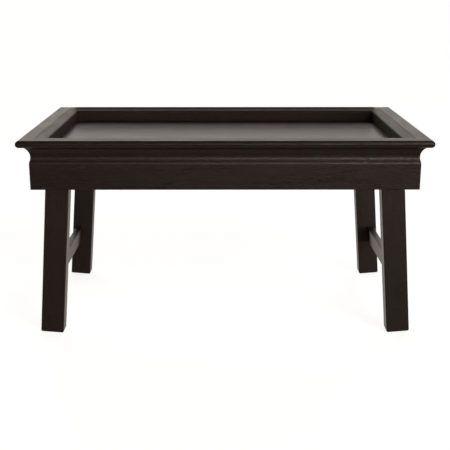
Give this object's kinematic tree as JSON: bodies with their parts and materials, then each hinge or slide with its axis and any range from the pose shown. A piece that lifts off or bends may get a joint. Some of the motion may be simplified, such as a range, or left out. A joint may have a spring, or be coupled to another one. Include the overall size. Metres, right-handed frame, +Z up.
{
  "type": "folding tray table",
  "caption": "Low rectangular tray table with a moulded rim round a shallow well, standing on splayed leg frames that fold in flat underneath.",
  "frame": {"origin": "on the floor, under the centre of the tray", "axes": "+X along the tray's width, to the right seen from the front; +Y from front to back; +Z up"},
  "size_m": [0.53, 0.312, 0.268],
  "materials": {
    "espresso_rail": "dark espresso stain under satin lacquer, fine open grain along each rail",
    "espresso_panel": "espresso stained veneer under satin lacquer, fine grain along the width",
    "espresso_leg": "dark espresso stain under satin lacquer, grain along each leg and stretcher",
    "stained_strip": "thinly stained hardwood strip, matt",
    "raw_wood": "unfinished beech",
    "bright_steel": "bright drawn steel",
    "nylon": "natural nylon"
  },
  "bodies": {
    "tray": {"front_rail": "espresso_rail", "back_rail": "espresso_rail", "left_rail": "espresso_rail", "right_rail": "espresso_rail", "tray_panel": "espresso_panel", "front_cleat": "stained_strip", "back_cleat": "stained_strip", "left_cleat": "stained_strip", "right_cleat": "stained_strip", "left_batten": "stained_strip", "right_batten": "stained_strip", "corner_splines": "raw_wood", "cleat_brads": "bright_steel", "left_pivot_rod": "bright_steel", "right_pivot_rod": "bright_steel", "left_pivot_washers": "nylon", "right_pivot_washers": "nylon"},
    "left_legs": {"left_front_leg": "espresso_leg", "left_back_leg": "espresso_leg", "left_stretcher": "espresso_leg", "left_stretcher_dowels": "raw_wood"},
    "right_legs": {"right_front_leg": "espresso_leg", "right_back_leg": "espresso_leg", "right_stretcher": "espresso_leg", "right_stretcher_dowels": "raw_wood"}
  },
  "joints": [
    {"name": "left_leg_fold", "type": "hinge", "parent": "tray", "child": "left_legs", "pos_m": [-0.21797, 0, 0.2175], "axis": [0, -1, 0], "range_deg": [0, 94.75]},
    {"name": "right_leg_fold", "type": "hinge", "parent": "tray", "child": "right_legs", "pos_m": [0.21797, 0, 0.2175], "axis": [0, 1, 0], "range_deg": [0, 94.75]}
  ]
}
